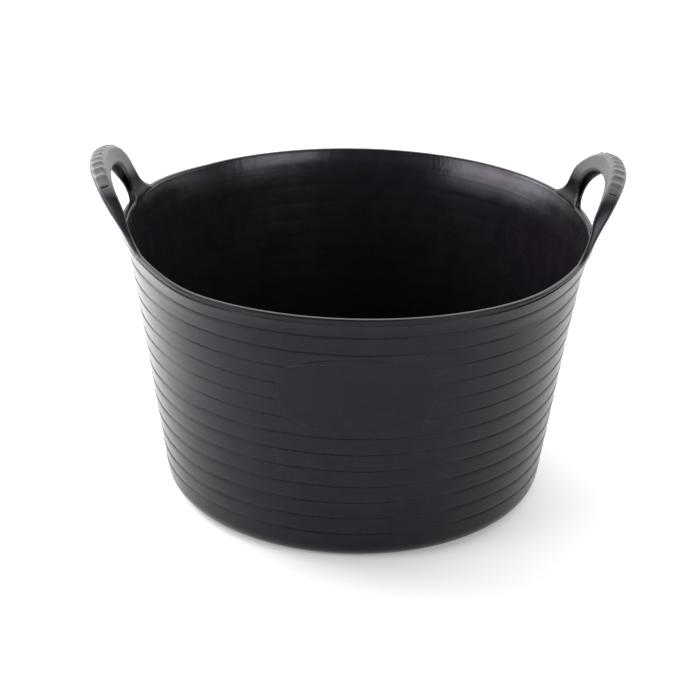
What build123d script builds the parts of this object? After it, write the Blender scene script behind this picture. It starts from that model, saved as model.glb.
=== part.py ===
"""A flexible mortar mixing tub with two looped handles, in millimetres.

The real tub is one moulding of black polyethylene. Each solid here is one of its moulded
features, meeting its neighbours face to face, and each handle hinges where its legs flex.
The origin is the centre of the ring that the tub stands on, with +Z up. The handles stand at
-X (left) and +X (right), and the label panel faces -Y (front).
"""

import os
from math import atan2, cos, degrees, radians, sin, sqrt

from build123d import *

os.makedirs("parts", exist_ok=True)

# Tub: overall sizes
rim_radius = 205.0  # outside of the lip
tub_height = 243.0  # ground to the top of the lip
cone_foot_radius = 170.0  # outside of the wall, carried straight down to the ground
cone_top_radius = 204.0  # outside of the wall, carried straight up to the top of the lip
wall_thickness = 3.6  # core and bands together
band_thickness = 1.2  # the bands are the outer skin of the wall

# Tub: the thirteen lines round the wall, counted down from the rim
line_count = 13
first_line_depth = 17.6
line_pitch = 16.45
line_width = 1.0

# Tub: lip, base corner and floor
lip_width = 4.5
lip_height = 5.0
lip_round = 1.5
corner_radius = 17.8
foot_inner_radius = 138.0
foot_thickness = 4.5
floor_lift = 1.5

# Label panel: a flat-sided oval, turned slightly off the middle of the front
panel_width = 134.0
panel_height = 74.0
panel_depth = 75.2  # from the top of the lip to the panel's middle
panel_azimuth = -90.9

# Handle: the hinge line at its roots, and the plane it leans in
hinge_radius = 199.0
hinge_height = tub_height + 7.5
handle_lean = 28.5  # degrees, outwards from upright
neck_radius = 4.0
hinge_gap = 0.3

# Handle: the bowed grip is a band between two ellipses in the leaning plane
bow_centre = 3.5  # above the hinge line
bow_half_width = 63.3  # at the middle of the band
bow_half_height = 50.0
grip_depth = 19.5
grip_thickness = 15.0
grip_round = 3.0
grip_start = 26.0  # the grip begins this far above the hinge line
channel_depth = 9.0
channel_width = 6.0

# Handle: ridges and slots on the face that lies in the palm
ridge_count = 9
ridge_step = 8.0  # degrees
ridge_width = 2.4
ridge_rise = 1.0
ridge_length = 8.0
slot_angle = 46.5  # degrees up from the bow's ends
slot_length = 8.5
slot_width = 2.6
slot_depth = 3.0

# Handle: legs and roots
neck_inner = 46.0  # nearest edge of each neck to the middle of the handle
neck_outer = 79.0
neck_thickness = 6.4
root_flare = 16.0  # a root spreads this far past its neck, outside the handle
root_fillet = 8.0  # and this far inside it
root_depth = 26.0  # from the top of the lip to a root's lowest point

sides = {"left": -1, "right": 1}
ends = {"front": -1, "rear": 1}


def cone_radius(height):
    """Outside radius of the wall at a height."""
    return cone_foot_radius + (cone_top_radius - cone_foot_radius) * height / tub_height


def line_height(index):
    """Height of a line, where index 0 is the highest."""
    return tub_height - first_line_depth - index * line_pitch


def shell_outline(bottom, top, outer_inset, inner_inset):
    """Corners of a slice of the wall, each face set in from the wall's outside."""
    return [
        (cone_radius(bottom) - inner_inset, bottom),
        (cone_radius(bottom) - outer_inset, bottom),
        (cone_radius(top) - outer_inset, top),
        (cone_radius(top) - inner_inset, top),
    ]


def handle_plane(side):
    """The leaning plane of a handle: its x runs along +Y and its y runs up the handle."""
    lean_out = Vector(side * sin(radians(handle_lean)), 0, cos(radians(handle_lean)))
    along = Vector(0, 1, 0)
    return Plane(origin=(side * hinge_radius, 0, hinge_height), x_dir=along, z_dir=along.cross(lean_out))


def neck_plane(side, distance):
    """A plane square to the handle, a distance up it: its x runs along +Y."""
    lean_out = Vector(side * sin(radians(handle_lean)), 0, cos(radians(handle_lean)))
    start = Vector(side * hinge_radius, 0, hinge_height) + lean_out * distance
    return Plane(origin=start, x_dir=(0, 1, 0), z_dir=lean_out)


def bow_reach(growth, height):
    """Half-width, at a height above the hinge line, of the bow's ellipse grown by an amount."""
    rise = (height - bow_centre) / (bow_half_height + growth)
    return (bow_half_width + growth) * sqrt(1 - rise**2)


def save(piece, name):
    """Label a finished piece and write it under its own name."""
    piece.part.label = name
    export_step(piece.part, f"parts/{name}.step")


core_top = line_height(0) + line_width / 2
core_bottom = line_height(line_count - 1) - line_width / 2

# Side wall: the plain conical core behind the bands
with BuildPart() as side_wall:
    with BuildSketch(Plane.XZ):
        Polygon(*shell_outline(core_bottom, core_top, band_thickness, wall_thickness), align=None)
    revolve(axis=Axis.Z)
save(side_wall, "side_wall")

# A prism with the label panel's outline, long enough to cut through the wall
panel_direction = Vector(cos(radians(panel_azimuth)), sin(radians(panel_azimuth)), 0)
panel_plane = Plane(
    origin=(0, 0, tub_height - panel_depth),
    x_dir=Vector(0, 0, 1).cross(panel_direction),
    z_dir=panel_direction,
)
with BuildPart() as panel_prism:
    with BuildSketch(panel_plane):
        SlotOverall(panel_width, panel_height)
    extrude(amount=rim_radius)

# Wall bands: one raised ring between each line and the next, broken by the label panel
with BuildPart() as wall_bands:
    with BuildSketch(Plane.XZ):
        for index in range(line_count - 1):
            band_top = line_height(index) - line_width / 2
            band_bottom = line_height(index + 1) + line_width / 2
            Polygon(*shell_outline(band_bottom, band_top, 0, band_thickness), align=None)
    revolve(axis=Axis.Z)
    add(panel_prism.part, mode=Mode.SUBTRACT)
save(wall_bands, "wall_bands")

# Label panel: a plain oval patch of the same skin
with BuildPart() as label_panel:
    with BuildSketch(Plane.XZ):
        Polygon(*shell_outline(core_bottom, core_top, 0, band_thickness), align=None)
    revolve(axis=Axis.Z)
    add(panel_prism.part, mode=Mode.INTERSECT)
save(label_panel, "label_panel")

# Rim collar: the plain band between the highest line and the lip
lip_bottom = tub_height - lip_height
with BuildPart() as rim_collar:
    with BuildSketch(Plane.XZ):
        Polygon(*shell_outline(core_top, lip_bottom, 0, wall_thickness), align=None)
    revolve(axis=Axis.Z)
save(rim_collar, "rim_collar")

# Rim lip: a thin ring that stands just proud of the collar, rounded on top
with BuildPart() as rim_lip:
    with BuildSketch(Plane.XZ) as lip_section:
        with Locations((rim_radius, lip_bottom)):
            Rectangle(lip_width, lip_height, align=(Align.MAX, Align.MIN))
        fillet(lip_section.vertices().group_by(Axis.Y)[-1], lip_round)
    revolve(axis=Axis.Z)
save(rim_lip, "rim_lip")

# Foot ring: the rounded base corner and the flat ring that the tub stands on
with BuildPart() as foot_ring:
    with BuildSketch(Plane.XZ) as foot_section:
        with BuildLine():
            Polyline(
                (foot_inner_radius, 0),
                (cone_foot_radius, 0),
                (cone_radius(core_bottom), core_bottom),
                (cone_radius(core_bottom) - wall_thickness, core_bottom),
                (cone_radius(foot_thickness) - wall_thickness, foot_thickness),
                (foot_inner_radius, foot_thickness),
                close=True,
            )
        make_face()
        outer_corner = foot_section.vertices().sort_by_distance((cone_foot_radius, 0))[0]
        fillet(outer_corner, corner_radius)
        inner_point = (cone_radius(foot_thickness) - wall_thickness, foot_thickness)
        inner_corner = foot_section.vertices().sort_by_distance(inner_point)[0]
        fillet(inner_corner, corner_radius - wall_thickness)
    revolve(axis=Axis.Z)
save(foot_ring, "foot_ring")

# Base floor: a disc inside the foot ring, lifted clear of the ground
with BuildPart() as base_floor:
    with BuildSketch(Plane.XY.offset(floor_lift)):
        Circle(foot_inner_radius)
    extrude(amount=foot_thickness - floor_lift)
save(base_floor, "base_floor")

# The space that the tub itself takes, which the handle roots are fitted round
with BuildPart() as tub_envelope:
    with BuildSketch(Plane.XZ):
        with BuildLine():
            Polyline(
                (0, 0),
                (cone_foot_radius, 0),
                (cone_radius(lip_bottom), lip_bottom),
                (rim_radius, lip_bottom),
                (rim_radius, tub_height),
                (rim_radius - lip_width, tub_height),
                (rim_radius - lip_width, hinge_height),
                (0, hinge_height),
                close=True,
            )
        make_face()
    revolve(axis=Axis.Z)

# Handle roots: pads on the rim, each with a round seat that the leg's neck turns in
seat_radius = neck_radius + hinge_gap
shoulder_reach = neck_radius + 0.8
shoulder_drop = 2.8
root_back = 20.0  # how far a pad runs in over the rim before it is trimmed
root_front = 6.0  # how far it stands out past the hinge line
root_front_drop = 8.0
tip_scale = 0.25
rim_top = tub_height - hinge_height  # seen from the hinge line
root_points = [
    (-root_back, rim_top - root_depth),
    (-root_back, rim_top + 1.0),
    (-shoulder_reach - 3.0, rim_top + 1.5),
    (-shoulder_reach, -shoulder_drop),
    (shoulder_reach, -shoulder_drop),
    (root_front, -root_front_drop),
    (cone_radius(tub_height - root_depth) - hinge_radius, rim_top - root_depth),
]


def root_section(side):
    """Outline of a root in X and Z, where the neck stands on it."""
    return [(side * (hinge_radius + x), hinge_height + z) for x, z in root_points]


def tip_section(side, distance):
    """The same outline shrunk onto the rim, where a root runs out into it."""
    rim_x = sqrt(rim_radius**2 - distance**2)
    return [
        (side * (rim_x + x * tip_scale), tub_height + min(z - rim_top, 1.0) * 2 * tip_scale)
        for x, z in root_points
    ]


for side_name, side in sides.items():
    for end_name, end in ends.items():
        # Plane.XZ faces -Y, so an offset of -y puts a sketch at y
        with BuildPart() as handle_root:
            with BuildSketch(Plane.XZ.offset(-end * neck_inner)):
                Polygon(*root_section(side), align=None)
            extrude(amount=-end * (neck_outer - neck_inner))
            for start, run in ((neck_outer, root_flare), (neck_inner, -root_fillet)):
                with BuildSketch(Plane.XZ.offset(-end * start)):
                    Polygon(*root_section(side), align=None)
                with BuildSketch(Plane.XZ.offset(-end * (start + run))):
                    Polygon(*tip_section(side, start + run), align=None)
                loft()
            add(tub_envelope.part, mode=Mode.SUBTRACT)
            with BuildSketch(Plane.XZ.offset(-end * (neck_inner - root_fillet))):
                with Locations((side * hinge_radius, hinge_height)):
                    Circle(seat_radius)
            extrude(amount=-end * (neck_outer - neck_inner + 2 * root_fillet), mode=Mode.SUBTRACT)
        save(handle_root, f"{side_name}_{end_name}_root")

# Handle legs: from a round neck at the hinge line up to the full section of the grip
grip_outer_reach = bow_reach(grip_depth / 2, grip_start)
grip_inner_reach = bow_reach(-grip_depth / 2, grip_start)
for side_name, side in sides.items():
    for end_name, end in ends.items():
        with BuildPart() as handle_leg:
            with BuildSketch(neck_plane(side, 0)):
                with Locations((end * (neck_inner + neck_outer) / 2, 0)):
                    Rectangle(neck_outer - neck_inner, neck_thickness)
            with BuildSketch(neck_plane(side, grip_start)):
                with Locations((end * (grip_inner_reach + grip_outer_reach) / 2, 0)):
                    Rectangle(grip_outer_reach - grip_inner_reach, grip_thickness)
            loft()
            with BuildSketch(Plane.XZ.offset(-end * neck_inner)):
                with Locations((side * hinge_radius, hinge_height)):
                    Circle(neck_radius)
            extrude(amount=-end * (neck_outer - neck_inner))
        save(handle_leg, f"{side_name}_{end_name}_leg")

# Grip: the bowed band between the two legs, with a finger channel under it
bow_wide = bow_half_width + grip_depth / 2
bow_high = bow_half_height + grip_depth / 2
slot_x = bow_wide * cos(radians(slot_angle))
slot_y = bow_high * sin(radians(slot_angle)) + bow_centre
slot_turn = degrees(atan2(sin(radians(slot_angle)) / bow_high, cos(radians(slot_angle)) / bow_wide))
for side_name, side in sides.items():
    with BuildPart() as grip:
        with BuildSketch(handle_plane(side)):
            with Locations((0, bow_centre)):
                Ellipse(bow_wide, bow_high)
                Ellipse(bow_wide - grip_depth, bow_high - grip_depth, mode=Mode.SUBTRACT)
            with Locations((0, grip_start)):
                Rectangle(3 * bow_wide, 3 * bow_high, align=(Align.CENTER, Align.MAX), mode=Mode.SUBTRACT)
        extrude(amount=grip_thickness / 2, both=True)
        palm_edges = grip.edges().filter_by(GeomType.ELLIPSE).sort_by(SortBy.LENGTH)[-2:]
        fillet(palm_edges, grip_round)
        with BuildSketch(handle_plane(side)):
            with Locations((0, bow_centre)):
                Ellipse(bow_wide - grip_depth + channel_depth, bow_high - grip_depth + channel_depth)
                Ellipse(bow_wide - grip_depth - 1, bow_high - grip_depth - 1, mode=Mode.SUBTRACT)
            with Locations((0, grip_start + grip_round)):
                Rectangle(3 * bow_wide, 3 * bow_high, align=(Align.CENTER, Align.MAX), mode=Mode.SUBTRACT)
        extrude(amount=channel_width / 2, both=True, mode=Mode.SUBTRACT)
        slot_places = [Location((slot_x, slot_y), slot_turn), Location((-slot_x, slot_y), 180 - slot_turn)]
        with BuildSketch(handle_plane(side)):
            with Locations(*slot_places):
                Rectangle(2 * slot_depth, slot_width)
        extrude(amount=slot_length / 2, both=True, mode=Mode.SUBTRACT)
    save(grip, f"{side_name}_grip")

# Grip ridges: short bars across the palm face, as one group on each grip
for side_name, side in sides.items():
    with BuildPart() as grip_ridges:
        with BuildSketch(handle_plane(side)):
            ridge_arc = (ridge_count - 1) * ridge_step
            with Locations((0, bow_centre)):
                with PolarLocations(bow_high, ridge_count, 90 - ridge_arc / 2, ridge_arc, endpoint=True):
                    Rectangle(grip_depth, ridge_width)
                Ellipse(bow_wide + ridge_rise, bow_high + ridge_rise, mode=Mode.INTERSECT)
                Ellipse(bow_wide, bow_high, mode=Mode.SUBTRACT)
        extrude(amount=ridge_length / 2, both=True)
    save(grip_ridges, f"{side_name}_grip_ridges")
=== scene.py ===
"""The looks of a flexible mortar mixing tub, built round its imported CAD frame.

Lengths are in metres, in the frame's own axes: +Z is up, the handles stand at -X and +X, and the
label panel faces -Y. Every piece is a mesh made here: the tub's pieces are rings whose section
changes a little from place to place, and each handle is the surface of a smooth distance field.
"""

import math

import bmesh
import bpy
import numpy as np
from mathutils import Matrix, Vector


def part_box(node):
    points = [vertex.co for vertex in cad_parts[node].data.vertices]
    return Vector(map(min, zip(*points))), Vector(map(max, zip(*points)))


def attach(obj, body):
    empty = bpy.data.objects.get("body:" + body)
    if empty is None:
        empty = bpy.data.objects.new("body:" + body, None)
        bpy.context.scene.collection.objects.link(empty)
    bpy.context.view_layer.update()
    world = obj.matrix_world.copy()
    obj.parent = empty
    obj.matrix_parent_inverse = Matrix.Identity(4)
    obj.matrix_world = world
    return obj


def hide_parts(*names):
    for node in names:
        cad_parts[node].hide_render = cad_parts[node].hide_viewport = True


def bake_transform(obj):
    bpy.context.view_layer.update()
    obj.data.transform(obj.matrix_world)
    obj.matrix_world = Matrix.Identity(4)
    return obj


MM = 0.001

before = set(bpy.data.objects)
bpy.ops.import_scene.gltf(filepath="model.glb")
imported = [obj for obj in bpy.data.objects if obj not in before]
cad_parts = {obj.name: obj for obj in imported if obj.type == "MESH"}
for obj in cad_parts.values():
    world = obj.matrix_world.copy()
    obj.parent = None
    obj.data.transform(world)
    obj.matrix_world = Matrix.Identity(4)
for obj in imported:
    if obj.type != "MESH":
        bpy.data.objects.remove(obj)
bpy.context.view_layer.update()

# ---------------------------------------------------------------------------------------------
# Sizes that come from the frame
# ---------------------------------------------------------------------------------------------

_, lip_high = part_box("rim_lip")
collar_low, collar_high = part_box("rim_collar")
_, foot_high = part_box("foot_ring")
floor_low, floor_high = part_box("base_floor")
panel_low, panel_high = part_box("label_panel")

RIM_RADIUS = lip_high.x
TUB_TOP = lip_high.z
CONE_SLOPE = (collar_high.x - foot_high.x) / (collar_high.z - foot_high.z)

# ---------------------------------------------------------------------------------------------
# Sizes of the details
# ---------------------------------------------------------------------------------------------

WALL_THICKNESS = 4.4 * MM
LINE_COUNT = 13
LINE_WIDTH = 1.0 * MM
GROOVE_WIDTH = 0.8 * MM
GROOVE_DEPTH = 0.21 * MM
LAP = 0.35 * MM  # a band's top edge stands this much further out than the foot of the next one

PANEL_AZIMUTH = math.radians(-90.9)
PANEL_GAP = 0.3 * MM
PANEL_SINK = 0.1 * MM

# The soft rim is drawn outwards and upwards towards the handles, and not by the same on each side
RIM_FLARE = {"left": 2.8 * MM, "right": 3.6 * MM}
RIM_LIFT = {"left": 5.2 * MM, "right": 1.8 * MM}
RIM_FLARE_FROM = math.radians(92)  # from the handle
RIM_FLARE_FULL = math.radians(38)
RIM_LIFT_FROM = math.radians(50)
RIM_LIFT_FULL = math.radians(24)
RIM_FLARE_DEPTH = 34.0 * MM
RIM_SHARE = 0.85  # of the flare and the lift, that sets in within that depth; the rest grows all the way up
RIM_BULGE = {"left": 1.7 * MM, "right": 2.0 * MM}  # and it bulges a little beside each handle
RIM_BULGE_PLACE = math.radians(47)
RIM_BULGE_WIDTH = math.radians(18)
LIP_HEIGHT = 3.0 * MM
LIP_ROUND = 1.3 * MM
LIP_THICKNESS = 4.2 * MM
ROOT_LEDGE = 0.9 * MM  # how much wider the lip is at the handles' roots
LIP_LEDGE = {"left": 1.4 * MM, "right": 0.0 * MM}  # and how much more between them
LIP_BEAD = {"left": 0.8 * MM, "right": 1.4 * MM}  # how much further the lip stands out beside a handle
LIP_BEAD_FRONT = 0.1 * MM  # how far it stands out from the collar everywhere

CORNER_RADIUS = 17.8 * MM
FOOT_INNER_RADIUS = floor_high.x  # where the foot ring meets the floor disc

HANDLE_LEAN = {"left": math.radians(20.5), "right": math.radians(19.6)}  # outwards from upright
HANDLE_RISE = {"left": 2.1 * MM, "right": 0.3 * MM}
HANDLE_RADIUS = {"left": 206.3 * MM, "right": 206.0 * MM}  # of its middle surface, at the rim
HANDLE_BOW = 0.591 / RIM_RADIUS  # how fast that surface follows the rim round
BOW_HALF_WIDTH = 62.7 * MM
BOW_HEIGHT = 58.2 * MM
BOW_POWER_WIDE = 0.819
BOW_POWER_HIGH = 0.771
GRIP_DEPTH = 19.5 * MM
ROOT_WIDTH = 34.6 * MM
GRIP_THICKNESS = 15.6 * MM
ROOT_THICKNESS = 5.1 * MM
GRIP_SHIFT = -2.1 * MM
REAR_SQUEEZE = {"left": 7.0 * MM, "right": -3.8 * MM}  # the rear leg's bend towards the front

RIDGE_COUNT = 9
RIDGE_PITCH = 9.0 * MM
RIDGE_WIDTH = 2.0 * MM
RIDGE_RISE = 1.1 * MM
RIDGE_REACH = 5.2 * MM
SLOT_PLACE = 46.0 * MM  # along the grip from its crest
SLOT_SIZE = (1.6 * MM, 7.0 * MM, 3.0 * MM)
CHANNEL_DEPTH = 9.0 * MM
OUTER_FLANGE_LESS = 2.9 * MM  # the channel's outer flange hangs this much less than its inner one

SIDE_CHANGE = 0.12  # where the left side's sizes become the right side's, as a cosine
RIPPLE_START = 20 * MM
RIPPLE_FULL = 60 * MM
RIPPLES = (  # waves round the tub, how far they turn up its height, phase, and millimetres
    (3, 9.0, 0.4, 0.16),
    (5, -14.0, 1.9, 0.11),
    (8, 23.0, 4.2, 0.06),
    (13, 37.0, 2.7, 0.035),
)

# Mesh density
COLUMNS = 420
COARSE_COLUMNS = 300  # of the wall's outer skin, away from the panel
PANEL_COLUMN_STEP = 1.15 * MM
PANEL_HALF_ANGLE = math.radians(25)  # half of the stretch with fine columns
PANEL_POINTS = 180
FLOOR_COLUMNS = 180
HANDLE_GRID_STEP = 0.65  # millimetres


def smooth(x, start, end):
    """0 before start, 1 after end, and an S curve between them."""
    t = np.clip((x - start) / (end - start), 0, 1)
    return t * t * (3 - 2 * t)


def cone_radius(height):
    """Outside radius of the plain cone at a height."""
    return foot_high.x + CONE_SLOPE * (height - foot_high.z)


line_heights = np.linspace(collar_low.z - LINE_WIDTH / 2, foot_high.z + LINE_WIDTH / 2, LINE_COUNT)

# ---------------------------------------------------------------------------------------------
# The shape that all the tub's pieces share
# ---------------------------------------------------------------------------------------------


def side_share(theta):
    """1 on the right half of the tub, 0 on the left half, with a soft change between them."""
    return smooth(np.cos(theta), -SIDE_CHANGE, SIDE_CHANGE)


def side_value(pair, theta):
    """A size that differs between the left and the right side."""
    right = side_share(theta)
    return pair["right"] * right + pair["left"] * (1 - right)


def angle_from_handle(theta):
    """Angle round the tub from the nearer handle."""
    return np.abs(np.arctan2(np.sin(theta), np.abs(np.cos(theta))))


def rim_flare(theta):
    """How far the rim is drawn outwards."""
    angle = angle_from_handle(theta)
    drawn = side_value(RIM_FLARE, theta) * (1 - smooth(angle, RIM_FLARE_FULL, RIM_FLARE_FROM))
    from_bulge = (angle - RIM_BULGE_PLACE) / RIM_BULGE_WIDTH
    return drawn + side_value(RIM_BULGE, theta) * np.exp(-(from_bulge**2))


def rim_lift(theta):
    """How far the rim is drawn upwards."""
    angle = angle_from_handle(theta)
    return side_value(RIM_LIFT, theta) * (1 - smooth(angle, RIM_LIFT_FULL, RIM_LIFT_FROM))


def ripple(theta, height):
    """Slow waviness of a soft moulding, a few tenths of a millimetre."""
    total = 0
    for turns, rise, phase, size in RIPPLES:
        total = total + size * MM * np.sin(turns * theta + rise * height / TUB_TOP + phase)
    return total * smooth(height, RIPPLE_START, RIPPLE_FULL)


def placed(theta, radius, height):
    """Points of the tub from their place on a perfectly round one."""
    near = RIM_SHARE * smooth(height, TUB_TOP - RIM_FLARE_DEPTH, TUB_TOP)
    near = near + (1 - RIM_SHARE) * (height / TUB_TOP) ** 2
    out = radius + rim_flare(theta) * near + ripple(theta, height)
    return np.stack([out * np.cos(theta), out * np.sin(theta), height + rim_lift(theta) * near], axis=-1)


def panel_distance(theta, height):
    """Distance outside the label panel's outline, measured on the panel's own plane."""
    half_width = (panel_high.x - panel_low.x) / 2
    half_height = (panel_high.z - panel_low.z) / 2
    across = cone_radius(height) * np.sin(theta - PANEL_AZIMUTH)
    up = height - (panel_high.z + panel_low.z) / 2
    outside = np.hypot(np.maximum(np.abs(across) - (half_width - half_height), 0), up) - half_height
    return np.where(np.cos(theta - PANEL_AZIMUTH) > 0, outside, half_width)


# ---------------------------------------------------------------------------------------------
# Mesh helpers
# ---------------------------------------------------------------------------------------------


def mesh_object(name, points, faces, sharp_angle=None):
    """A smooth-shaded mesh object that remembers where its points are at rest."""
    mesh = bpy.data.meshes.new(name)
    mesh.from_pydata(points.tolist(), [], faces.tolist())
    mesh.update()
    rest = mesh.attributes.new("rest", "FLOAT_VECTOR", "POINT")
    rest.data.foreach_set("vector", points.astype(np.float32).ravel())
    mesh.shade_smooth()
    if sharp_angle:
        mesh.set_sharp_from_angle(angle=math.radians(sharp_angle))
    piece = bpy.data.objects.new(name, mesh)
    bpy.context.scene.collection.objects.link(piece)
    return piece


def grid_faces(rows, columns, wrap_rows=True):
    """Quads of a grid whose columns close round the tub, and whose rows may close too."""
    first = np.arange(rows if wrap_rows else rows - 1)
    row, column = np.meshgrid(first, np.arange(columns), indexing="ij")
    above = (row + 1) % rows
    beside = (column + 1) % columns
    corners = ((row, column), (row, beside), (above, beside), (above, column))
    return np.stack([(r * columns + c).ravel() for r, c in corners], axis=1)


def ring(name, theta, radius, height, sharp_angle=None):
    """A closed ring, given row by row. Its section runs anticlockwise, seen with the axis at left."""
    points = placed(theta[None, :], radius, height)
    rows, columns = points.shape[:2]
    return mesh_object(name, points.reshape(-1, 3), grid_faces(rows, columns), sharp_angle)


def even_columns(count=COLUMNS):
    """Angles spaced evenly round the tub."""
    return np.arange(count) * 2 * math.pi / count


def arc(centre, radius, start, end, steps):
    """Points on an arc, from a start angle to an end angle in degrees."""
    angles = np.radians(np.linspace(start, end, steps))
    return [(centre[0] + radius * math.cos(a), centre[1] + radius * math.sin(a)) for a in angles]


# ---------------------------------------------------------------------------------------------
# Tub pieces
# ---------------------------------------------------------------------------------------------

GROOVE_SECTION = (  # height from the line's middle and depth, in parts of the groove's size
    (-0.90, 0.06),
    (-0.62, 0.28),
    (-0.48, 0.80),
    (-0.25, 1.00),
)


def groove_rows(line, below, above):
    """Heights and offsets across one line, for the faces below and above it."""
    rows = []
    for place, depth in GROOVE_SECTION:
        rows.append((line + place * GROOVE_WIDTH, below * (1 - depth) + depth * (above - GROOVE_DEPTH)))
    for place, depth in reversed(GROOVE_SECTION):
        rows.append((line - place * GROOVE_WIDTH, above - depth * GROOVE_DEPTH))
    return rows


SKIN_THICKNESS = 2.4 * MM
ROWS_IN_BAND = 3
ROWS_BESIDE_PANEL = 10
LINES_FADE = (0.2 * MM, 2.4 * MM)  # distances from the panel's outline between which they set in
SINK_AT_EDGE = (0.0 * MM, 1.2 * MM)
SINK_UNDER_PANEL = (-3.0 * MM, -1.0 * MM)


def make_wall_bands():
    """The lapped outer skin between the highest line and the lowest, sunk under the label panel."""
    rise = LAP / 2
    rows = []
    for index in range(LINE_COUNT - 1, -1, -1):
        section = groove_rows(line_heights[index], rise, -rise)
        half = len(section) // 2
        if index == LINE_COUNT - 1:
            section = section[half - 1:]
        if index == 0:
            section = section[:half + 1]
        rows += section
        if index > 0:
            low = rows[-1][0]
            high = line_heights[index - 1] - LINE_WIDTH
            in_panel = low < panel_high.z and high > panel_low.z
            count = ROWS_BESIDE_PANEL if in_panel else ROWS_IN_BAND
            for share in np.linspace(0, 1, count + 2)[1:-1]:
                rows.append((low + share * (high - low), -rise + share * LAP))
    heights = np.array([row[0] for row in rows])
    offsets = np.array([row[1] for row in rows])

    fine_count = round(2 * PANEL_HALF_ANGLE * RIM_RADIUS / PANEL_COLUMN_STEP)
    fine = np.linspace(-PANEL_HALF_ANGLE, PANEL_HALF_ANGLE, fine_count, endpoint=False)
    other_end = 2 * math.pi - PANEL_HALF_ANGLE
    coarse = np.linspace(PANEL_HALF_ANGLE, other_end, COARSE_COLUMNS, endpoint=False)
    theta = PANEL_AZIMUTH + np.concatenate([fine, coarse])

    outside = panel_distance(theta[None, :], heights[:, None])
    lines = smooth(outside, *LINES_FADE)
    # In parts of the gap: 1 inside the panel's outline, and 2 well under the panel
    sunk = 2 - smooth(outside, *SINK_AT_EDGE) - smooth(outside, *SINK_UNDER_PANEL)
    radius = cone_radius(heights)[:, None] + offsets[:, None] * lines - PANEL_GAP * sunk
    back = cone_radius(heights[[-1, 0]]) - SKIN_THICKNESS
    radius = np.concatenate([radius, np.repeat(back[:, None], len(theta), axis=1)])
    heights = np.concatenate([heights, heights[[-1, 0]]])
    height = np.repeat(heights[:, None], len(theta), axis=1)
    return ring("tub_wall_bands", theta, radius, height, sharp_angle=60)


SIDE_WALL_ROWS = 120
MARK_WIDTH = 2.2 * MM
MARK_DEPTH = 0.12 * MM
SKIN_OVERLAP = 0.2 * MM


def make_side_wall():
    """The wall's inner face, with the faint mark that each outside line leaves on it."""
    inner_heights = np.linspace(collar_low.z, foot_high.z, SIDE_WALL_ROWS)
    marks = sum(np.exp(-(((inner_heights - line) / MARK_WIDTH) ** 2)) for line in line_heights)
    inner = cone_radius(inner_heights) - WALL_THICKNESS + MARK_DEPTH * marks
    outer_heights = np.array([foot_high.z, collar_low.z])
    outer = cone_radius(outer_heights) - SKIN_THICKNESS + SKIN_OVERLAP
    theta = even_columns()
    heights = np.concatenate([inner_heights, outer_heights])
    radius = np.concatenate([inner, outer])
    full = np.ones((1, len(theta)))
    return ring("tub_side_wall", theta, radius[:, None] * full, heights[:, None] * full, sharp_angle=40)


def bent_ramp(share, start, end):
    """0 up to start, a bend from there to end, and then a straight rise to 1."""
    turn = np.clip((share - start) / (end - start), 0, 1)
    rise = (end - start) * turn**2 / 2 + np.maximum(share - end, 0)
    return rise / (1 - (start + end) / 2)


ROOT_LEDGE_FADE = (math.radians(21), math.radians(33))  # from the handle
LIP_LEDGE_FADE = (math.radians(7), math.radians(19))
LIP_BEAD_FADE = (math.radians(36), math.radians(76))


def lip_ledge(theta):
    """How much further out the lip's edge lies where the handles spring from it."""
    angle = angle_from_handle(theta)
    at_root = ROOT_LEDGE * (1 - smooth(angle, *ROOT_LEDGE_FADE))
    return at_root + side_value(LIP_LEDGE, theta) * (1 - smooth(angle, *LIP_LEDGE_FADE))


def lip_prominence(theta):
    """How far the lip's bead stands out from the collar: more beside the handles than at the front."""
    near = 1 - smooth(angle_from_handle(theta), *LIP_BEAD_FADE)
    return LIP_BEAD_FRONT + side_value(LIP_BEAD, theta) * near


COLLAR_ROWS = 9
NECK_TOP = -2.5 * MM  # below the lip's foot
LIP_GROOVE = (  # height from the lip's foot, and depth in parts of the bead
    (-2.25 * MM, 0.15),
    (-2.05 * MM, 0.9),
    (-1.8 * MM, 1.0),
    (0.0 * MM, 1.0),
    (0.2 * MM, 0.2),
)
LIP_UNDERSIDE = 0.4 * MM
UNDERSIDE_SHARE = 0.3  # how far in, from the bead's edge to the collar, the lip's underside lies
LIP_EDGE = 0.9 * MM
LIP_ROUND_POINTS = 8
INNER_ROUND = 1.1 * MM
INNER_ROUND_POINTS = 6
INNER_START = 1.6 * MM  # below the rim's top
INNER_ROWS = 24
INNER_BEND = (0.2, 0.65)  # where the collar's inside turns outwards, in parts of its height
COLLAR_TUCK = (1.6 * MM, 0.2 * MM)  # the last row: inwards from the wall's face, and downwards


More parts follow.
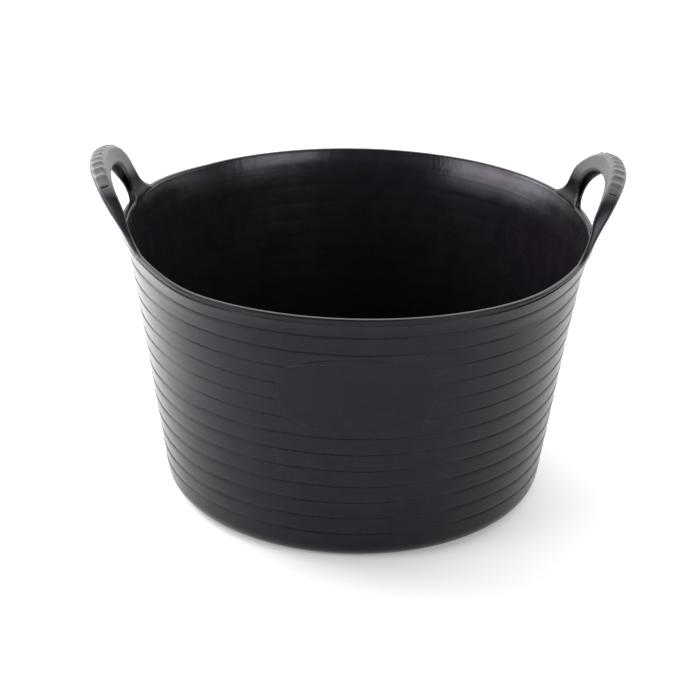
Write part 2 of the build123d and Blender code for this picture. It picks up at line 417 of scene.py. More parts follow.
def make_rim_band():
    """The plain collar with the thin lip on top of it. Its inside has a second material."""
    theta = even_columns()
    full = np.ones_like(theta)
    rise = LAP / 2
    bead = lip_prominence(theta)
    ledge = lip_ledge(theta)
    lip_foot = TUB_TOP - LIP_HEIGHT
    lip_outer = RIM_RADIUS * full
    rows = []
    first = groove_rows(line_heights[0], rise, -rise)
    for height, offset in first[len(first) // 2:]:
        rows.append(((cone_radius(height) + offset) * full, height))
    low = rows[-1][1]
    high = lip_foot + NECK_TOP
    neck = lip_outer - bead
    for share in np.linspace(0, 1, COLLAR_ROWS)[1:]:
        height = low + share * (high - low)
        plain = cone_radius(height) - rise * (1 - share)
        rows.append((plain + (neck - cone_radius(high)) * share**2, height))
    for up, depth in LIP_GROOVE:
        rows.append((neck - depth * bead, lip_foot + up))
    underside = lip_outer - UNDERSIDE_SHARE * bead + (1 - UNDERSIDE_SHARE) * ledge
    rows.append((underside, lip_foot + LIP_UNDERSIDE))
    rows.append((lip_outer + ledge, lip_foot + LIP_EDGE))
    for out, up in arc((0, TUB_TOP - LIP_ROUND), LIP_ROUND, 0, 90, LIP_ROUND_POINTS):
        rows.append((lip_outer + ledge - LIP_ROUND + out, up))
    inner_top = (RIM_RADIUS - LIP_THICKNESS) * full
    inner_arc = arc((0, TUB_TOP - INNER_ROUND), INNER_ROUND, 90, 180, INNER_ROUND_POINTS)
    inner_row = len(rows) + len(inner_arc) - 1
    for out, up in inner_arc:
        rows.append((inner_top + INNER_ROUND + out, up))
    opened = RIM_RADIUS - LIP_THICKNESS - (cone_radius(TUB_TOP) - WALL_THICKNESS)
    for height in np.linspace(TUB_TOP - INNER_START, collar_low.z, INNER_ROWS):
        share = (height - collar_low.z) / (TUB_TOP - collar_low.z)
        plain = cone_radius(height) - WALL_THICKNESS
        rows.append(((plain + opened * bent_ramp(share, *INNER_BEND)) * full, height))
    tuck_in, tuck_down = COLLAR_TUCK
    rows.append(((cone_radius(collar_low.z) - tuck_in) * full, collar_low.z - tuck_down))
    radius = np.stack([row[0] for row in rows])
    height = np.stack([row[1] * full for row in rows])
    band = ring("tub_rim", theta, radius, height, sharp_angle=50)
    columns = len(theta)
    inside = np.zeros(len(band.data.polygons), dtype=np.int32)
    inside[inner_row * columns:-columns] = 1
    band.data.polygons.foreach_set("material_index", inside)
    return band


FOOT_INNER_EDGE = (  # out from FOOT_INNER_RADIUS, and height
    (-1.5 * MM, floor_low.z + 0.5 * MM),
    (-0.2 * MM, floor_low.z),
    (0.4 * MM, 0.5 * MM),
    (1.4 * MM, 0.0 * MM),
)
CORNER_POINTS = 20
INNER_CORNER_POINTS = 16
FOOT_ROWS = 5
FOOT_ROW_GAP = 1.0 * MM  # between the last of them and the lowest line
FOOT_TUCK = 0.3 * MM  # how far the foot ring reaches up behind the outer skin
FOOT_FLOOR_LAP = 0.5 * MM


def make_foot_ring():
    """The rounded base corner and the flat ring that the tub stands on."""
    slope_angle = math.degrees(math.atan(CONE_SLOPE))
    centre_height = CORNER_RADIUS
    flat_radius = cone_radius(centre_height) - CORNER_RADIUS / math.cos(math.radians(slope_angle))
    top = foot_high.z
    thickness = floor_high.z
    section = [(FOOT_INNER_RADIUS + out, height) for out, height in FOOT_INNER_EDGE]
    section += arc((flat_radius, centre_height), CORNER_RADIUS, -90, -slope_angle, CORNER_POINTS)
    last_line = groove_rows(line_heights[-1], LAP / 2, -LAP / 2)
    below = last_line[:len(last_line) // 2]
    start = section[-1][1]
    end = below[0][0] - FOOT_ROW_GAP
    for share in np.linspace(0, 1, FOOT_ROWS + 1)[1:]:
        height = start + share * (end - start)
        section.append((cone_radius(height) + LAP / 2 * share, height))
    section += [(cone_radius(height) + offset, height) for height, offset in below]
    section.append((cone_radius(top) - SKIN_THICKNESS + SKIN_OVERLAP, top + FOOT_TUCK))
    section.append((cone_radius(top) - WALL_THICKNESS, top))
    inner_corner = CORNER_RADIUS - WALL_THICKNESS
    inner_centre = (flat_radius, thickness + inner_corner)
    section += arc(inner_centre, inner_corner, -slope_angle, -90, INNER_CORNER_POINTS)
    section.append((FOOT_INNER_RADIUS - FOOT_FLOOR_LAP, thickness))
    theta = even_columns()
    full = np.ones((1, len(theta)))
    radius = np.array([point[0] for point in section])[:, None] * full
    height = np.array([point[1] for point in section])[:, None] * full
    return ring("tub_foot_ring", theta, radius, height, sharp_angle=50)


FLOOR_EDGE_GAP = 0.4 * MM  # between the disc's edge and the foot ring's inner radius
FLOOR_UNDER_RISE = 0.3 * MM
GATE_HOLLOW = 0.45 * MM
GATE_EDGE = (2.5 * MM, 4.5 * MM)
MOULDING_DEPTH = 0.35 * MM
MOULDING_RADIUS = 49 * MM
MOULDING_WIDTH = 1.3 * MM
FLOOR_ROWS = (  # first and last radius, and how many
    (0 * MM, 6 * MM, 7),
    (10 * MM, 44 * MM, 7),
    (46 * MM, 52 * MM, 9),
    (60 * MM, FOOT_INNER_RADIUS - FLOOR_EDGE_GAP, 8),
)


def make_base_floor():
    """The floor disc, with a low moulding ring and the gate mark in its middle underneath."""
    radii = np.concatenate([np.linspace(*rows) for rows in FLOOR_ROWS])
    gate = GATE_HOLLOW * (1 - smooth(radii, *GATE_EDGE))
    moulding = MOULDING_DEPTH * np.exp(-(((radii - MOULDING_RADIUS) / MOULDING_WIDTH) ** 2))
    lower = floor_low.z + FLOOR_UNDER_RISE - moulding + gate
    top_radii = radii[::-1]
    upper = np.full(len(top_radii), floor_high.z)
    section_radii = np.concatenate([radii, top_radii])
    section_heights = np.concatenate([lower, upper])
    theta = even_columns(FLOOR_COLUMNS)
    full = np.ones((1, len(theta)))
    points = placed(theta[None, :], section_radii[:, None] * full, section_heights[:, None] * full)
    rows, columns = points.shape[:2]
    faces = grid_faces(rows, columns, wrap_rows=False)
    piece = mesh_object("tub_base_floor", points.reshape(-1, 3), faces, sharp_angle=40)
    join_close_points(piece)
    return piece


def join_close_points(piece, distance=0.01 * MM):
    """Merges the points of a mesh that lie on each other, such as those on an axis."""
    shape = bmesh.new()
    shape.from_mesh(piece.data)
    bmesh.ops.remove_doubles(shape, verts=shape.verts, dist=distance)
    bmesh.ops.recalc_face_normals(shape, faces=shape.faces)
    shape.to_mesh(piece.data)
    shape.free()


PANEL_SPINE_SPREAD = 1.35  # how early round the outline the panel's middle line reaches its ends
PANEL_ROUND = 0.9 * MM
PANEL_ROUND_ANGLES = (20, 45, 70, 90)
PANEL_BACK = (  # share of the way from the middle line to the outline, and level
    (0.0, -1.6 * MM),
    (0.6, -1.6 * MM),
    (0.997, -1.6 * MM),
    (1.0, -1.0 * MM),
)
PANEL_FACE = (0.97, 0.0, 16)  # the same share, at the face's first and last row, and how many rows


def make_label_panel():
    """The plain oval panel: rings of points from its outline in to its middle line."""
    half_width = (panel_high.x - panel_low.x) / 2
    half_height = (panel_high.z - panel_low.z) / 2
    middle = (panel_high.z + panel_low.z) / 2
    straight = half_width - half_height
    turn = even_columns(PANEL_POINTS)
    spine = straight * np.clip(np.cos(turn) * PANEL_SPINE_SPREAD, -1, 1)
    rows = [*PANEL_BACK, (1.0, -PANEL_SINK - PANEL_ROUND)]
    for angle in np.radians(PANEL_ROUND_ANGLES):
        shrink = PANEL_ROUND * (1 - math.cos(angle)) / half_height
        rows.append((1.0 - shrink, -PANEL_SINK - PANEL_ROUND * (1 - math.sin(angle))))
    rows += [(share, -PANEL_SINK) for share in np.linspace(*PANEL_FACE)]
    points = []
    for share, level in rows:
        across = spine + share * half_height * np.cos(turn)
        up = middle + share * half_height * np.sin(turn)
        plain = cone_radius(up)
        theta = PANEL_AZIMUTH + np.arcsin(across / plain)
        points.append(placed(theta, plain + level, up))
    points = np.stack(points)
    rows_count, columns = points.shape[:2]
    faces = grid_faces(rows_count, columns, wrap_rows=False)
    piece = mesh_object("tub_label_panel", points.reshape(-1, 3), faces, sharp_angle=60)
    join_close_points(piece)
    return piece


# ---------------------------------------------------------------------------------------------
# Handles
# ---------------------------------------------------------------------------------------------
# A handle is worked out in its own coordinates: y runs along +Y, v runs up the leaning handle
# from the rim, and n runs square to it, outwards. A field there is negative inside the plastic.


def smooth_min(a, b, reach):
    """The smaller of two distances, blended where they are within reach of each other."""
    share = np.clip(0.5 + 0.5 * (b - a) / reach, 0, 1)
    return b + (a - b) * share - reach * share * (1 - share)


def smooth_max(a, b, reach):
    """The larger of two distances, blended in the same way."""
    return -smooth_min(-a, -b, reach)


def handle_to_tub(side_name, y, v, n):
    """Points of a handle in the tub's frame, with x measured outwards."""
    lean = HANDLE_LEAN[side_name]
    x = HANDLE_RADIUS[side_name] - HANDLE_BOW * y**2 + v * math.sin(lean) + n * math.cos(lean)
    z = TUB_TOP + HANDLE_RISE[side_name] + v * math.cos(lean) - n * math.sin(lean)
    return np.stack([x, y, z], axis=-1)


BOW_STEPS = 400
BOW_TAIL = 30 * MM  # how far the bow's middle line runs on below the rim
BOW_TAIL_STEPS = 60
BOW_EVEN_STEPS = 500
POINTS_AT_ONCE = 20000


def bow_coordinates(y, v):
    """For points in the handle's plane: distance along the bow from its crest, distance out from
    its middle line, and how high up the bow they are, from 0 at the rim to 1 at the crest."""
    t = np.linspace(0, math.pi / 2, BOW_STEPS)
    line_y = BOW_HALF_WIDTH * np.cos(t) ** BOW_POWER_WIDE
    line_v = BOW_HEIGHT * np.sin(t) ** BOW_POWER_HIGH
    below = np.linspace(-BOW_TAIL, 0, BOW_TAIL_STEPS, endpoint=False)
    line_y = np.concatenate([np.full(len(below), BOW_HALF_WIDTH), line_y])
    line_v = np.concatenate([below, line_v])
    steps = np.hypot(np.diff(line_y), np.diff(line_v))
    along = np.concatenate([[0], np.cumsum(steps)])
    even = np.linspace(0, along[-1], BOW_EVEN_STEPS)
    line_y = np.interp(even, along, line_y)
    line_v = np.interp(even, along, line_v)
    tangent_y = np.gradient(line_y, even)
    tangent_v = np.gradient(line_v, even)
    size = np.hypot(tangent_y, tangent_v)
    normal_y, normal_v = tangent_v / size, -tangent_y / size
    flat_y, flat_v = np.abs(y).ravel(), v.ravel()
    nearest = np.empty(len(flat_y), int)
    for start in range(0, len(flat_y), POINTS_AT_ONCE):
        part = slice(start, start + POINTS_AT_ONCE)
        gap = (flat_y[part, None] - line_y) ** 2 + (flat_v[part, None] - line_v) ** 2
        nearest[part] = gap.argmin(axis=1)
    off_y, off_v = flat_y - line_y[nearest], flat_v - line_v[nearest]
    out = off_y * normal_y[nearest] + off_v * normal_v[nearest]
    slide = off_y * (tangent_y / size)[nearest] + off_v * (tangent_v / size)[nearest]
    from_crest = along[-1] - even[nearest] - slide
    raised = np.clip(line_v[nearest] / BOW_HEIGHT, 0, 1)
    return from_crest.reshape(y.shape), out.reshape(y.shape), raised.reshape(y.shape)


COLLAR_SLOPE = 1.9 * CONE_SLOPE  # of the stretch right under the lip
RIM_SEARCH_ROUNDS = 6


def rim_middle(side_name, y, v):
    """For points in a handle's plane: where the middle of the lip lies, as n, how far up the plane
    the top of the rim is, and how much wider the lip is there."""
    lean = HANDLE_LEAN[side_name]
    base = TUB_TOP + HANDLE_RISE[side_name]
    side = 0 if side_name == "right" else math.pi
    theta = side + np.arcsin(y / RIM_RADIUS)
    lip_middle = RIM_RADIUS - LIP_THICKNESS / 2 + rim_flare(theta)
    lift = rim_lift(theta)
    n = np.zeros_like(y)
    top = np.zeros_like(y)
    for _ in range(RIM_SEARCH_ROUNDS):
        held = np.minimum(v, top)
        height = base + held * math.cos(lean) - n * math.sin(lean)
        below = np.minimum(height - TUB_TOP - lift, 0)
        x = np.sqrt((lip_middle + COLLAR_SLOPE * below) ** 2 - y**2)
        plane_x = HANDLE_RADIUS[side_name] - HANDLE_BOW * y**2 + held * math.sin(lean)
        n = (x - plane_x) / math.cos(lean)
        top = (TUB_TOP + lift - base + n * math.sin(lean)) / math.cos(lean)
    return n, top, lip_ledge(theta)


# Where the rear leg is bent
SQUEEZE_EVEN = 0.7  # the share of the bend that does not swell at the middle of the bow's height
SQUEEZE_Y_FULL = 50 * MM
SQUEEZE_FADE = (28 * MM, 62 * MM)

# How the bow's section changes from the rim, at 0, to the crest, at 1
DEPTH_POWER = 3
THICKNESS_POWER = 0.7

# How a handle grows out of the lip. Heights are above the rim
TOP_SINK = 0.3 * MM  # how far the handle's own stretch of rim lies below the rim's top
FREE_SPAN = (4 * MM, 36 * MM)  # heights between which its faces pass from the lip's to its own
LEG_FADE = (-2 * MM, 12 * MM)  # distances from the leg's edges
LEG_COVER = 0.45 * MM  # how far the leg's foot stands out over the lip's faces
LEG_COVER_RISE = (-7 * MM, -1 * MM)
COVER_SINK = 0.25 * MM  # how far the handle's faces lie inside the lip's, away from the leg
LIP_STEP = (-3.0 * MM, -1.6 * MM)
LIP_STEP_DEPTH = 2.0 * MM  # the outer face's step inwards under the lip
WEB_ROUND = 9 * MM  # the round between the leg and the rim, on the inner side of the bow
WEB_ROUND_MORE = 11 * MM  # and what it has more on the outer side
WEB_CHANGE = 4 * MM

# The faces and the edges
RIDGE_END = 1.2 * MM
PALM_CROWN = 0.9 * MM
FLANGE_CHANGE = 4 * MM
LEG_ROUND = 1 * MM
ROOT_EDGE_ROUND = 1.2 * MM
GRIP_EDGE_ROUND = 3.2 * MM
PALM_EDGE_LESS = 1.0 * MM
PALM_EDGE_CHANGE = 2 * MM
INNER_EDGE_ROUND = 2.2 * MM
INNER_EDGE_LESS = 1.6 * MM
INNER_EDGE_CHANGE = 1.5 * MM

# The channel's flanges, at the root and what they have more at the crest
INNER_FLANGE = (1.0 * MM, 1.3 * MM)
OUTER_FLANGE = (1.2 * MM, 3.4 * MM)
CHANNEL_RISE = (5 * MM, 22 * MM)
CHANNEL_ROUND = 2 * MM
CHANNEL_EDGE_ROUND = 0.8 * MM
SLOT_EDGE_ROUND = 0.7 * MM


def handle_field(side_name, y, v, n):
    """Distance from the surface of a handle and of the stretch of rim that it grows from."""
    flat_y, flat_v = y[:, :, 0], v[:, :, 0]
    swell = np.sin(math.pi * np.clip(flat_v / BOW_HEIGHT, 0, 1))
    bent = REAR_SQUEEZE[side_name] * (SQUEEZE_EVEN + (1 - SQUEEZE_EVEN) * swell)
    bent = bent * smooth(flat_y, 0, SQUEEZE_Y_FULL) * (1 - smooth(flat_v, *SQUEEZE_FADE))
    along, out, raised = bow_coordinates(flat_y + bent, flat_v)
    along, out, raised = along[:, :, None], out[:, :, None], raised[:, :, None]

    half_depth = (GRIP_DEPTH + (ROOT_WIDTH - GRIP_DEPTH) * (1 - raised) ** DEPTH_POWER) / 2
    half_thick = (ROOT_THICKNESS + (GRIP_THICKNESS - ROOT_THICKNESS) * raised**THICKNESS_POWER) / 2
    out = out - GRIP_SHIFT * raised

    middle_of_rim, rim_top, ledge = rim_middle(side_name, flat_y, flat_v)
    above_rim = (flat_v - rim_top)[:, :, None] + TOP_SINK

    # The middle surface and the two faces pass from the rim's lip to the handle's own
    free = smooth(above_rim, *FREE_SPAN)
    middle = middle_of_rim[:, :, None] * (1 - free)
    at_leg = 1 - smooth(np.abs(out) - half_depth, *LEG_FADE)
    cover_in = LEG_COVER * at_leg * smooth(above_rim, *LEG_COVER_RISE) - COVER_SINK
    in_lip = smooth(above_rim, *LIP_STEP)
    cover_out = (ledge[:, :, None] + LEG_COVER * at_leg) * in_lip - COVER_SINK - LIP_STEP_DEPTH * (1 - in_lip)
    lip_half = LIP_THICKNESS / 2
    thick_in = half_thick * free + (lip_half + cover_in) * (1 - free)
    thick_out = half_thick * free + (lip_half + cover_out) * (1 - free)

    # Ridges stand up from the face that lies in the palm, and that face is slightly crowned
    ridge = 0
    for index in range((RIDGE_COUNT + 1) // 2):
        ridge = ridge + np.exp(-(((along - index * RIDGE_PITCH) / RIDGE_WIDTH) ** 2))
    off_middle = n - middle
    across = smooth(RIDGE_REACH - np.abs(off_middle), -RIDGE_END, RIDGE_END)
    crown = PALM_CROWN * (off_middle / half_thick) ** 2 * raised
    palm = out - half_depth - RIDGE_RISE * ridge * across + crown
    hollow_side = -out - half_depth + OUTER_FLANGE_LESS * raised * smooth(off_middle, 0, FLANGE_CHANGE)
    leg = smooth_max(palm, hollow_side, LEG_ROUND)
    web_round = WEB_ROUND + WEB_ROUND_MORE * smooth(out, -WEB_CHANGE, WEB_CHANGE)
    outline = smooth_min(leg, above_rim, web_round)

    faces = np.maximum(off_middle - thick_out, -off_middle - thick_in)
    palm_side = smooth(out, -PALM_EDGE_CHANGE, PALM_EDGE_CHANGE)
    inner_side = smooth(-off_middle, -INNER_EDGE_CHANGE, INNER_EDGE_CHANGE)
    edge_round = ROOT_EDGE_ROUND + (GRIP_EDGE_ROUND - PALM_EDGE_LESS * palm_side) * raised
    edge_round = edge_round + (INNER_EDGE_ROUND - INNER_EDGE_LESS * raised) * inner_side
    over_a, over_b = outline + edge_round, faces + edge_round
    body = np.hypot(np.maximum(over_a, 0), np.maximum(over_b, 0)) - edge_round
    body = body + np.minimum(np.maximum(over_a, over_b), 0)

    # The finger channel under the grip, with its wider flange on the outer side
    flange_in = INNER_FLANGE[0] + INNER_FLANGE[1] * raised
    flange_out = OUTER_FLANGE[0] + OUTER_FLANGE[1] * raised
    channel_n = np.maximum(off_middle - thick_out + flange_out, -off_middle - thick_in + flange_in)
    depth = CHANNEL_DEPTH * smooth(flat_v, *CHANNEL_RISE)[:, :, None]
    channel = smooth_max(channel_n, out + half_depth - depth, CHANNEL_ROUND)
    body = smooth_max(body, -channel, CHANNEL_EDGE_ROUND)

    slot_along, slot_across, slot_depth = SLOT_SIZE
    slot = np.maximum(np.abs(along - SLOT_PLACE) - slot_along / 2, np.abs(off_middle) - slot_across / 2)
    slot = np.maximum(slot, half_depth - slot_depth - out)
    return smooth_max(body, -slot, SLOT_EDGE_ROUND)


def surface_net(field, axes):
    """Points and quads of the surface where a sampled field is zero."""
    shape = np.array(field.shape)
    cells = tuple(shape - 1)
    inside = field < 0
    corners = [(i, j, k) for i in (0, 1) for j in (0, 1) for k in (0, 1)]
    count = np.zeros(cells, np.int8)
    for i, j, k in corners:
        count += inside[i:i + cells[0], j:j + cells[1], k:k + cells[2]]
    active = np.argwhere((count > 0) & (count < len(corners)))
    number = np.full(cells, -1)
    number[tuple(active.T)] = np.arange(len(active))

    total = np.zeros((len(active), 3))
    crossings = np.zeros(len(active))
    for start in corners:
        for axis in range(3):
            if start[axis]:
                continue
            end = np.array(start)
            end[axis] = 1
            value_a = field[tuple((active + start).T)]
            value_b = field[tuple((active + end).T)]
            crosses = (value_a < 0) != (value_b < 0)
            share = np.where(crosses, value_a / np.where(crosses, value_a - value_b, 1), 0)
            place = np.array(start) + share[:, None] * (end - np.array(start))
            total += np.where(crosses[:, None], place, 0)
            crossings += crosses
    place = active + total / crossings[:, None]
    points = np.stack([np.interp(place[:, i], np.arange(shape[i]), axes[i]) for i in range(3)], axis=1)

    quads = []
    for axis in range(3):
        side_a, side_b = (axis + 1) % 3, (axis + 2) % 3
        low = [slice(None)] * 3
        high = [slice(None)] * 3
        low[axis] = slice(0, -1)
        high[axis] = slice(1, None)
        leaves = inside[tuple(low)] & ~inside[tuple(high)]
        enters = ~inside[tuple(low)] & inside[tuple(high)]
        for edges, flip in ((leaves, False), (enters, True)):
            found = np.argwhere(edges)
            found = found[(found[:, side_a] > 0) & (found[:, side_b] > 0)]
            step_a, step_b = np.zeros(3, int), np.zeros(3, int)
            step_a[side_a] = 1
            step_b[side_b] = 1
            loop = [found - step_a - step_b, found - step_b, found, found - step_a]
            quad = np.stack([number[tuple(cell.T)] for cell in loop], axis=1)
            quads.append(quad[:, ::-1] if flip else quad)
    return points, np.concatenate(quads)


GRID_SPANS = ((-101.0, 101.5), (-9.0, 72.0), (-12.0, 13.5))  # millimetres, along y, v and n
HANDLE_HALF_LENGTH = 99 * MM  # of lip that a handle takes with it
HANDLE_SKIRT = 6.5 * MM  # and how far down below the rim's top


def make_handle(side_name):
    """One handle, with the stretch of lip between its roots and just past them."""
    axes = [np.arange(low, high, HANDLE_GRID_STEP) * MM for low, high in GRID_SPANS]
    y, v, n = np.meshgrid(*axes, indexing="ij")
    field = handle_field(side_name, y, v, n)
    rim_top = rim_middle(side_name, y[:, :, 0], v[:, :, 0])[1][:, :, None]
    ends = np.maximum(np.abs(y) - HANDLE_HALF_LENGTH, rim_top - HANDLE_SKIRT - v)
    points, quads = surface_net(np.maximum(field, ends), axes)
    points = handle_to_tub(side_name, points[:, 0], points[:, 1], points[:, 2])
    if side_name == "left":
        points = points * np.array([-1, 1, 1])
        quads = quads[:, ::-1]
    return mesh_object(f"{side_name}_handle", points, quads)


# ---------------------------------------------------------------------------------------------
# Materials
# ---------------------------------------------------------------------------------------------


def add_node(tree, kind, **inputs):
    """A shader node with some of its input sockets set."""
    node = tree.nodes.new(kind)
    for name, value in inputs.items():
        node.inputs[name.replace("_", " ")].default_value = value
    return node


def noise(tree, coordinates, scale, detail, roughness=0.55, stretch=None):
    """A noise pattern, in cycles per metre, that may be stretched along an axis."""
    if stretch:
        mapping = tree.nodes.new("ShaderNodeMapping")
        mapping.inputs["Scale"].default_value = stretch
        tree.links.new(coordinates, mapping.inputs["Vector"])
        coordinates = mapping.outputs["Vector"]
    node = add_node(tree, "ShaderNodeTexNoise", Scale=scale, Detail=detail, Roughness=roughness)
    tree.links.new(coordinates, node.inputs["Vector"])
    return node.outputs["Fac"]


def ranged(tree, value, from_low, from_high, to_low, to_high, smoothly=False):
    """A value carried from one range to another."""
    node = tree.nodes.new("ShaderNodeMapRange")
    node.interpolation_type = "SMOOTHSTEP" if smoothly else "LINEAR"
    sockets = ("From Min", "From Max", "To Min", "To Max")
    for name, number in zip(sockets, (from_low, from_high, to_low, to_high)):
        node.inputs[name].default_value = number
    tree.links.new(value, node.inputs["Value"])
    return node.outputs["Result"]


def combined(tree, operation, a, b):
    """Two values put together by a Math node. Either may be a number."""
    node = tree.nodes.new("ShaderNodeMath")
    node.operation = operation
    for index, value in enumerate((a, b)):
        if isinstance(value, (int, float)):
            node.inputs[index].default_value = value
        else:
            tree.links.new(value, node.inputs[index])
    return node.outputs["Value"]


def mixed_colour(tree, factor, a, b):
    """A colour between two others. Either may be a socket."""
    mix = tree.nodes.new("ShaderNodeMix")
    mix.data_type = "RGBA"
    for socket, colour in (("A", a), ("B", b)):
        if isinstance(colour, tuple):
            mix.inputs[socket].default_value = (*colour, 1)
        else:
            tree.links.new(colour, mix.inputs[socket])
    tree.links.new(factor, mix.inputs["Factor"])
    return mix.outputs["Result"]


def weighted(tree, a, b, share):
    """Two values added: a share of the first, and the rest of the second."""
    first = combined(tree, "MULTIPLY", a, share)
    return combined(tree, "ADD", first, combined(tree, "MULTIPLY", b, 1 - share))


PLASTIC_IOR = 1.51
SPECULAR_TINT = (0.93, 0.85, 1.0, 1)
REAR_PAINTED_LIGHT_SLANT = 0.2  # painted light: how much lower the grey reaches, per metre towards the rear, to lighten the rear legs

# Noise patterns: cycles per metre, detail and, for some, roughness
MOTTLE = (55, 5)
SPECKLE = (620, 3)
CLOUD = (9, 2)
FINE_GRAIN = (900, 2)
COARSE_GRAIN = (260, 3)
STREAKS = (150, 2)
STREAK_STRETCH = (1, 1, 0.06)
WEAR_PATCHES = (240, 5, 0.65)
WEAR_PATCH_RANGE = (0.3, 0.7, 0.55, 1.0)  # the pattern's range, and the share of wear that it gives

MOTTLE_SHARE = 0.6  # of the tone; the speckle has the rest
MOTTLE_DULL_SHARE = 0.55  # of the roughness; the cloud has the rest
NOISE_MIDDLE = (0.35, 0.65)  # the range that most of a noise pattern lies in
GRAIN_DISTANCE = 0.25 * MM


def black_plastic(name, dark, light, roughness, specular, grain, streaks=0.0, grey_wear_and_painted_light=None):
    """Satin black polyethylene: mottled colour, grained surface, and dull scuffs. Above the heights that it
    is given, it is greyed and dulled by hands; the grey reaching lower towards the rear is painted light on
    the rear legs."""
    material = bpy.data.materials.new(name)
    material.use_nodes = True
    tree = material.node_tree
    shader = tree.nodes["Principled BSDF"]
    shader.inputs["Specular IOR Level"].default_value = specular
    shader.inputs["IOR"].default_value = PLASTIC_IOR
    shader.inputs["Specular Tint"].default_value = SPECULAR_TINT
    place = tree.nodes.new("ShaderNodeAttribute")
    place.attribute_name = "rest"
    place = place.outputs["Vector"]

    mottle = noise(tree, place, *MOTTLE)
    tone = weighted(tree, mottle, noise(tree, place, *SPECKLE), MOTTLE_SHARE)
    colour = mixed_colour(tree, ranged(tree, tone, *NOISE_MIDDLE, 0, 1), dark, light)
    rough = weighted(tree, mottle, noise(tree, place, *CLOUD), MOTTLE_DULL_SHARE)
    rough = ranged(tree, rough, *NOISE_MIDDLE, *roughness)
    if grey_wear_and_painted_light:
        start, end, grey, extra_roughness = grey_wear_and_painted_light
        parts = tree.nodes.new("ShaderNodeSeparateXYZ")
        tree.links.new(place, parts.inputs["Vector"])
        # Painted light: the grey starts lower towards the rear, lightening the rear legs
        rear_painted_light = combined(tree, "MULTIPLY", parts.outputs["Y"], REAR_PAINTED_LIGHT_SLANT)
        wear_and_painted_light = ranged(tree, combined(tree, "ADD", parts.outputs["Z"], rear_painted_light), start, end, 0, 1)
        patchy = ranged(tree, noise(tree, place, *WEAR_PATCHES), *WEAR_PATCH_RANGE)
        colour = mixed_colour(tree, combined(tree, "MULTIPLY", wear_and_painted_light, patchy), colour, grey)
        rough = combined(tree, "ADD", rough, combined(tree, "MULTIPLY", wear_and_painted_light, extra_roughness))
    tree.links.new(colour, shader.inputs["Base Color"])
    tree.links.new(rough, shader.inputs["Roughness"])

    height = weighted(tree, noise(tree, place, *FINE_GRAIN), noise(tree, place, *COARSE_GRAIN), 0.5)
    if streaks:
        lined = noise(tree, place, *STREAKS, stretch=STREAK_STRETCH)
        height = combined(tree, "ADD", height, combined(tree, "MULTIPLY", lined, streaks))
    bump = add_node(tree, "ShaderNodeBump", Strength=grain, Distance=GRAIN_DISTANCE)
    tree.links.new(height, bump.inputs["Height"])
    tree.links.new(bump.outputs["Normal"], shader.inputs["Normal"])
    return material


def finish_piece(piece, materials, nodes):
    """Gives a piece its materials, and hides the CAD nodes that it stands for."""
    for material in materials:
        piece.data.materials.append(material)
    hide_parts(*nodes)


# ---------------------------------------------------------------------------------------------
# Build
# ---------------------------------------------------------------------------------------------

outside_plastic = black_plastic(
    "outside_plastic",
    dark=(0.0043, 0.0036, 0.0050),
    light=(0.0080, 0.0069, 0.0088),
    roughness=(0.17, 0.27),
    specular=0.20,
    grain=0.18,
)
panel_plastic = black_plastic(
    "panel_plastic",
    dark=(0.0041, 0.0034, 0.0048),
    light=(0.0071, 0.0062, 0.0079),
    roughness=(0.19, 0.27),
    specular=0.195,
    grain=0.12,
)
# Painted light: a lighter copy of the same plastic, brightening the tub's shaded inside wall and floor
inside_painted_light_plastic = black_plastic(
    "inside_painted_light_plastic",
    dark=(0.0086, 0.0064, 0.0094),
    light=(0.0118, 0.0092, 0.0127),
    roughness=(0.23, 0.33),
    specular=0.20,
    grain=0.20,
    streaks=1.1,
)
rim_inside_plastic = black_plastic(
    "rim_inside_plastic",
    dark=(0.0040, 0.0034, 0.0046),
    light=(0.0110, 0.0098, 0.0118),
    roughness=(0.20, 0.31),
    specular=0.42,
    grain=0.50,
    streaks=2.0,
)
handle_plastic = black_plastic(
    "handle_plastic",
    dark=(0.0060, 0.0052, 0.0066),
    light=(0.0110, 0.0098, 0.0120),
    roughness=(0.22, 0.32),
    specular=0.28,
    grain=0.18,
    # The grey is hand wear, and towards the rear it is also painted light on the rear legs
    grey_wear_and_painted_light=(0.277, 0.286, (0.130, 0.125, 0.124), 0.06),
)

tub_pieces = (
    (make_side_wall, (inside_painted_light_plastic,), ("side_wall",)),
    (make_wall_bands, (outside_plastic,), ("wall_bands",)),
    (make_label_panel, (panel_plastic,), ("label_panel",)),
    (make_rim_band, (outside_plastic, rim_inside_plastic), ("rim_collar", "rim_lip")),
    (make_foot_ring, (outside_plastic,), ("foot_ring",)),
    (make_base_floor, (inside_painted_light_plastic,), ("base_floor",)),
)
for make, materials, nodes in tub_pieces:
    tub_piece = make()
    finish_piece(tub_piece, materials, nodes)
    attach(tub_piece, "tub")

HANDLE_NODES = ("front_root", "rear_root", "front_leg", "rear_leg", "grip", "grip_ridges")
for side_name, side in (("left", -1), ("right", 1)):
    handle = make_handle(side_name)
    nodes = [f"{side_name}_{node}" for node in HANDLE_NODES]
    finish_piece(handle, (handle_plastic,), nodes)
    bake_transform(handle)

# ---------------------------------------------------------------------------------------------
# Stage
# ---------------------------------------------------------------------------------------------

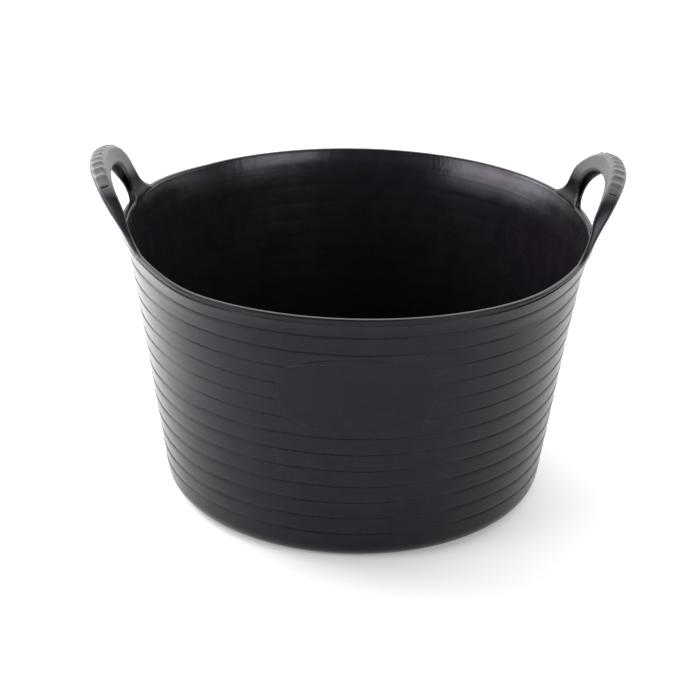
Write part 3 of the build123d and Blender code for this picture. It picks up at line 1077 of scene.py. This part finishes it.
FLOOR_HALF = 20.0
FLOOR_DROP = 0.1 * MM  # keeps the floor's face off the foot ring's
TUB_MIDDLE = (0, 0, 0.15)
FLOOR_COLOUR = (0.86, 0.86, 0.87, 1)
FLOOR_ROUGHNESS = 0.9
FLOOR_SPECULAR = 0.1
FLOOR_GLOW = 0.15
WHITE = (1, 1, 1, 1)
WORLD_EVEN = 0.3
WORLD_SLOPES = (("Y", -0.2, 0.6, 2.0),)  # axis, where it starts and ends, and the strength added
SOFTBOXES = (  # name, size, place, aim, radiance
    ("left_light", (0.9, 1.0), (-1.8, 0.5, 0.6), TUB_MIDDLE, 3.2),
    ("front_right_light", (1.3, 0.8), (1.14, -1.36, 0.83), TUB_MIDDLE, 4.6),
    ("front_left_light", (1.1, 0.8), (-1.58, -0.805, 0.83), TUB_MIDDLE, 6.3),
    ("left_pool", (0.4, 0.5), (-0.62, 0.2, 0.45), (-0.62, 0.2, 0), 8.5),
    ("right_pool", (0.4, 0.5), (0.62, 0.2, 0.45), (0.62, 0.2, 0), 1.0),
)


def make_floor():
    """A plain white studio floor."""
    corners = [(-1, -1), (1, -1), (1, 1), (-1, 1)]
    points = np.array([(x * FLOOR_HALF, y * FLOOR_HALF, -FLOOR_DROP) for x, y in corners])
    floor = mesh_object("studio_floor", points, np.array([(0, 1, 2, 3)]))
    material = bpy.data.materials.new("floor_paper")
    material.use_nodes = True
    shader = material.node_tree.nodes["Principled BSDF"]
    shader.inputs["Base Color"].default_value = FLOOR_COLOUR
    shader.inputs["Roughness"].default_value = FLOOR_ROUGHNESS
    shader.inputs["Specular IOR Level"].default_value = FLOOR_SPECULAR
    shader.inputs["Emission Color"].default_value = WHITE
    shader.inputs["Emission Strength"].default_value = FLOOR_GLOW
    floor.data.materials.append(material)


def make_softbox(name, size, place, aim, radiance):
    """A rectangular studio light that faces a point."""
    light = bpy.data.lights.new(name, "AREA")
    light.shape = "RECTANGLE"
    light.size, light.size_y = size
    light.energy = radiance * math.pi * light.size * light.size_y
    softbox = bpy.data.objects.new(name, light)
    bpy.context.scene.collection.objects.link(softbox)
    softbox.visible_camera = False
    softbox.location = place
    softbox.rotation_mode = "QUATERNION"
    softbox.rotation_quaternion = (Vector(aim) - Vector(place)).to_track_quat("-Z", "Y")


def make_world(even, slopes):
    """White surroundings that grow brighter along some axes of the room."""
    world = bpy.data.worlds.new("studio")
    world.use_nodes = True
    bpy.context.scene.world = world
    tree = world.node_tree
    background = tree.nodes["Background"]
    background.inputs["Color"].default_value = WHITE
    direction = tree.nodes.new("ShaderNodeTexCoord")
    parts = tree.nodes.new("ShaderNodeSeparateXYZ")
    tree.links.new(direction.outputs["Generated"], parts.inputs["Vector"])
    strength = even
    for axis, start, end, added in slopes:
        more = ranged(tree, parts.outputs[axis], start, end, 0, added, smoothly=True)
        strength = combined(tree, "ADD", strength, more)
    tree.links.new(strength, background.inputs["Strength"])


make_floor()
make_world(WORLD_EVEN, WORLD_SLOPES)
for name, size, place, aim, radiance in SOFTBOXES:
    make_softbox(name, size, place, aim, radiance)

# ---------------------------------------------------------------------------------------------
# Camera
# ---------------------------------------------------------------------------------------------

CAMERA_AIM = Vector((-0.0223, 0, 0.5902)) * RIM_RADIUS
CAMERA_DISTANCE = 9.452 * RIM_RADIUS
CAMERA_ELEVATION = math.radians(25.05)
CAMERA_ROLL = math.radians(1.195)
CAMERA_TURN = math.radians(-1.36)
CAMERA_LENS = 109.2  # millimetres, on the sensor below
CAMERA_SENSOR = 36
CAMERA_REACH = 50


def make_camera():
    """The camera, looking down at the front of the tub from a little to one side."""
    forward = Vector((0, math.cos(CAMERA_ELEVATION), -math.sin(CAMERA_ELEVATION)))
    right = Vector((1, 0, 0))
    up = right.cross(forward)
    rolled_right = right * math.cos(CAMERA_ROLL) + up * math.sin(CAMERA_ROLL)
    rolled_up = up * math.cos(CAMERA_ROLL) - right * math.sin(CAMERA_ROLL)
    axes = Matrix((rolled_right, rolled_up, -forward)).transposed().to_4x4()
    place = Matrix.Translation(CAMERA_AIM - forward * CAMERA_DISTANCE)
    data = bpy.data.cameras.new("camera")
    data.lens = CAMERA_LENS
    data.sensor_width = CAMERA_SENSOR
    data.clip_end = CAMERA_REACH
    camera = bpy.data.objects.new("camera", data)
    bpy.context.scene.collection.objects.link(camera)
    camera.matrix_world = Matrix.Rotation(CAMERA_TURN, 4, "Z") @ place @ axes
    bpy.context.scene.camera = camera


make_camera()
bpy.context.scene.view_settings.view_transform = "Standard"
